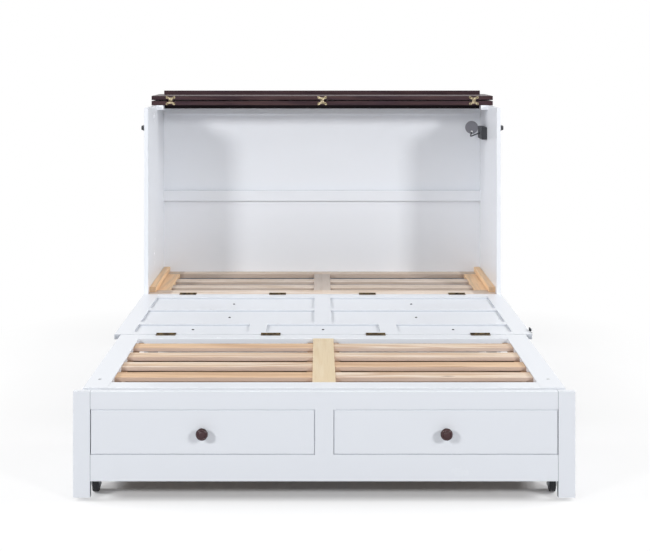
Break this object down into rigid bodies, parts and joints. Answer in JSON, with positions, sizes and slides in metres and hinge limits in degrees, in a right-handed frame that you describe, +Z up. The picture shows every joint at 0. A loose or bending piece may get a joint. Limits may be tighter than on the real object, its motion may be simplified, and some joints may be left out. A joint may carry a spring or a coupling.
{
  "type": "wooden cabinet bed",
  "caption": "Queen cabinet bed that folds out of a shallow chest: folding lid, fold-down front panel, slatted folding frame and a roll-out drawer unit on casters.",
  "frame": {"origin": "on the floor under the middle of the opened bed's box, without the power lead", "axes": "+Z up, +Y towards the cabinet, +X to the right as seen from the foot of the bed"},
  "size_m": [1.6366, 2.3504, 1.2537],
  "materials": {
    "white_paint": "satin white lacquer over MDF and solid rails",
    "pine": "planed and unvarnished pine",
    "plywood": "sanded plywood",
    "dark_stain": "dark walnut stain under satin lacquer",
    "mahogany": "turned and stained wood, semi-gloss",
    "bronze": "bronzed steel",
    "brass": "brushed antique brass",
    "steel": "zinc-plated",
    "black_plastic": "fine-grained black plastic",
    "lead_rubber": "matt black PVC jacket",
    "grey_plastic": "moulded grey plastic",
    "wheel_rubber": "black tyre on a plastic core"
  },
  "bodies": {
    "cabinet": {"left_side_panel": "white_paint", "right_side_panel": "white_paint", "back_panel": "white_paint", "back_rails": "white_paint", "cabinet_glides": "black_plastic", "deck_cross_rails": "pine", "deck_side_boards": "pine", "deck_centre_board": "plywood", "deck_slats": "pine", "deck_battens": "pine", "lid_cleats": "white_paint", "lid_rear_board": "dark_stain", "lid_rear_strip": "dark_stain", "lid_rear_hinges": "brass", "deck_hinges": "bronze", "charger_box": "black_plastic", "cable_grommet": "grey_plastic", "charger_lead": "lead_rubber", "lead_coil": "lead_rubber", "lead_plug": "black_plastic"},
    "left_catch": {"left_catch_knob": "black_plastic"},
    "right_catch": {"right_catch_knob": "black_plastic"},
    "lid_front": {"lid_front_board": "dark_stain", "lid_front_strip": "dark_stain", "lid_front_hinges": "brass"},
    "face_panel": {"face_stiles": "white_paint", "face_rails": "white_paint", "face_muntins": "white_paint", "face_backings": "white_paint", "false_drawer_fronts": "white_paint", "face_knobs": "mahogany", "face_knob_screws": "bronze", "face_rear_hinges": "bronze", "face_front_hinges": "bronze", "face_keeper": "steel"},
    "folding_frame": {"frame_side_rails": "white_paint", "frame_cross_rails": "white_paint", "frame_centre_board": "plywood", "frame_slats_pine": "pine", "frame_ledges": "white_paint", "frame_hinges": "bronze"},
    "drawer_unit": {"unit_posts": "white_paint", "unit_front_rails": "white_paint", "unit_side_panels": "white_paint", "unit_back_panel": "white_paint", "unit_divider": "white_paint", "unit_runners": "steel", "caster_brackets": "steel"},
    "left_drawer": {"left_drawer_front": "white_paint", "left_drawer_box": "pine", "left_drawer_runners": "steel", "left_drawer_knob": "mahogany"},
    "right_drawer": {"right_drawer_front": "white_paint", "right_drawer_box": "pine", "right_drawer_runners": "steel", "right_drawer_knob": "mahogany"},
    "front_left_caster": {"front_left_wheel": "wheel_rubber"},
    "front_right_caster": {"front_right_wheel": "wheel_rubber"},
    "rear_left_caster": {"rear_left_wheel": "wheel_rubber"},
    "rear_right_caster": {"rear_right_wheel": "wheel_rubber"}
  },
  "joints": [
    {"name": "face_fold", "type": "hinge", "parent": "cabinet", "child": "face_panel", "pos_m": [0, 0.52285, 0.356], "axis": [-1, 0, 0], "range_deg": [0, 90]},
    {"name": "frame_fold", "type": "hinge", "parent": "face_panel", "child": "folding_frame", "pos_m": [0, -0.28315, 0.356], "axis": [-1, 0, 0], "range_deg": [0, 180]},
    {"name": "lid_fold", "type": "hinge", "parent": "cabinet", "child": "lid_front", "pos_m": [0, 0.8189, 1.21335], "axis": [1, 0, 0], "range_deg": [0, 180]},
    {"name": "unit_roll", "type": "slide", "parent": "cabinet", "child": "drawer_unit", "axis": [0, 1, 0], "range_m": [0, 1.5818]},
    {"name": "left_drawer_slide", "type": "slide", "parent": "drawer_unit", "child": "left_drawer", "axis": [0, -1, 0], "range_m": [0, 0.4]},
    {"name": "right_drawer_slide", "type": "slide", "parent": "drawer_unit", "child": "right_drawer", "axis": [0, -1, 0], "range_m": [0, 0.4]},
    {"name": "left_catch_turn", "type": "hinge", "parent": "cabinet", "child": "left_catch", "pos_m": [-0.803, 0.54815, 1.1], "axis": [-1, 0, 0], "range_deg": [0, 90]},
    {"name": "right_catch_turn", "type": "hinge", "parent": "cabinet", "child": "right_catch", "pos_m": [0.803, 0.54815, 1.1], "axis": [1, 0, 0], "range_deg": [0, 90]},
    {"name": "front_left_caster_roll", "type": "hinge", "parent": "drawer_unit", "child": "front_left_caster", "pos_m": [-0.746, -0.99215, 0.025], "axis": [1, 0, 0], "continuous": true},
    {"name": "front_right_caster_roll", "type": "hinge", "parent": "drawer_unit", "child": "front_right_caster", "pos_m": [0.746, -0.99215, 0.025], "axis": [1, 0, 0], "continuous": true},
    {"name": "rear_left_caster_roll", "type": "hinge", "parent": "drawer_unit", "child": "rear_left_caster", "pos_m": [-0.746, -0.58415, 0.025], "axis": [1, 0, 0], "continuous": true},
    {"name": "rear_right_caster_roll", "type": "hinge", "parent": "drawer_unit", "child": "rear_right_caster", "pos_m": [0.746, -0.58415, 0.025], "axis": [1, 0, 0], "continuous": true}
  ],
  "couplings": [
    {"joint": "unit_roll", "follows": "face_fold", "m_per_rad": 1.007}
  ]
}
